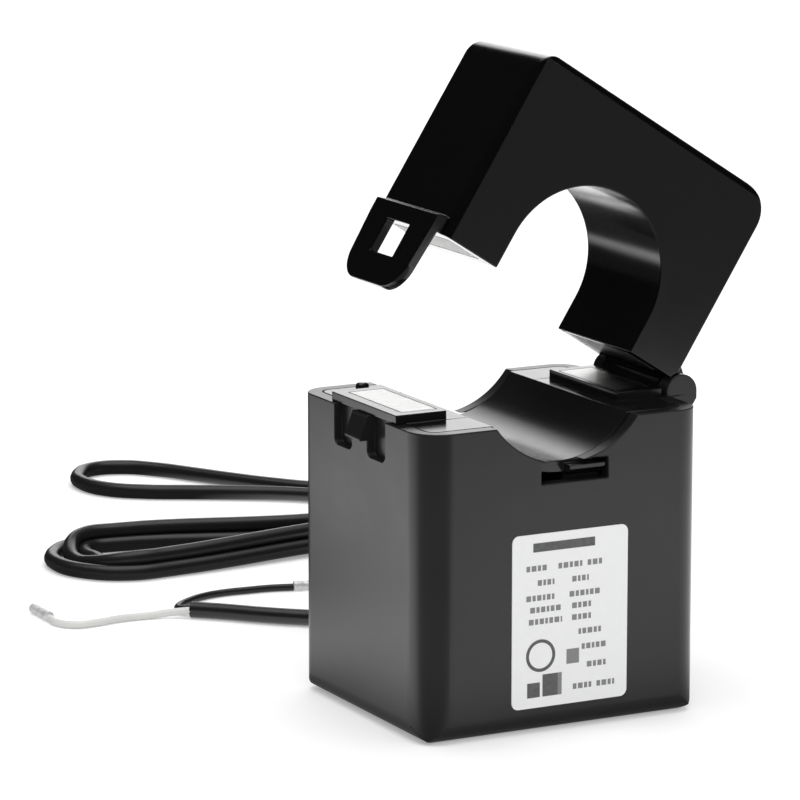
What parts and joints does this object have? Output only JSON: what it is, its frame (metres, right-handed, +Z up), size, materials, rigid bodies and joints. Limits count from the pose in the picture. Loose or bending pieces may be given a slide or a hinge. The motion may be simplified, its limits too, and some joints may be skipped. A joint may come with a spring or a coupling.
{
  "type": "current transformer",
  "caption": "Split-core current transformer: box-shaped coil case, hinged cap with latch strap standing open over a round window, and a two-core lead in a loose hank.",
  "frame": {"origin": "centre of the lower case's foot, on the standing surface", "axes": "+Z up through the coil to the cap, +X towards the hinge, +Y along the conductor window towards the lead outlet at the back"},
  "size_m": [0.1096, 0.1738, 0.0884],
  "materials": {
    "case_plastic": "satin black moulding",
    "cover_plastic": "satin black moulding",
    "cap_plastic": "satin black moulding",
    "core_steel": "ground lamination edges",
    "bobbin_plastic": "matte natural nylon",
    "winding_copper": "enamelled copper wire",
    "tape_film": "polyester tape",
    "board_laminate": "green laminate",
    "diode_body": "black epoxy",
    "wire_red": "insulated wire",
    "relief_rubber": "black soft PVC",
    "label_film": "white printed film",
    "pin_steel": "bright steel",
    "pad_foam": "springy pad",
    "lead_jacket": "black PVC jacket",
    "tie_plastic": "black band",
    "conductor_sleeve": "light insulation",
    "ferrule_tin": "tinned copper"
  },
  "bodies": {
    "base": {"lower_case": "case_plastic", "inner_cover": "cover_plastic", "core_left": "core_steel", "core_right": "core_steel", "bobbin": "bobbin_plastic", "secondary_winding": "winding_copper", "winding_tape": "tape_film", "terminal_board": "board_laminate", "surge_diode": "diode_body", "board_wires": "wire_red", "strain_relief": "relief_rubber", "rating_label": "label_film", "hinge_pin": "pin_steel", "lead_run": "lead_jacket", "lead_hank": "lead_jacket", "lead_tail": "lead_jacket", "lead_tie": "tie_plastic", "lead_conductors": "conductor_sleeve", "lead_ferrules": "ferrule_tin"},
    "cap": {"upper_case": "cap_plastic", "upper_cover": "cap_plastic", "upper_core": "core_steel", "core_pad": "pad_foam"}
  },
  "joints": [
    {"name": "cap_hinge", "type": "hinge", "parent": "base", "child": "cap", "pos_m": [0.0225, 0, 0.042], "axis": [0, 1, 0], "range_deg": [-32.5, 62.5]}
  ]
}
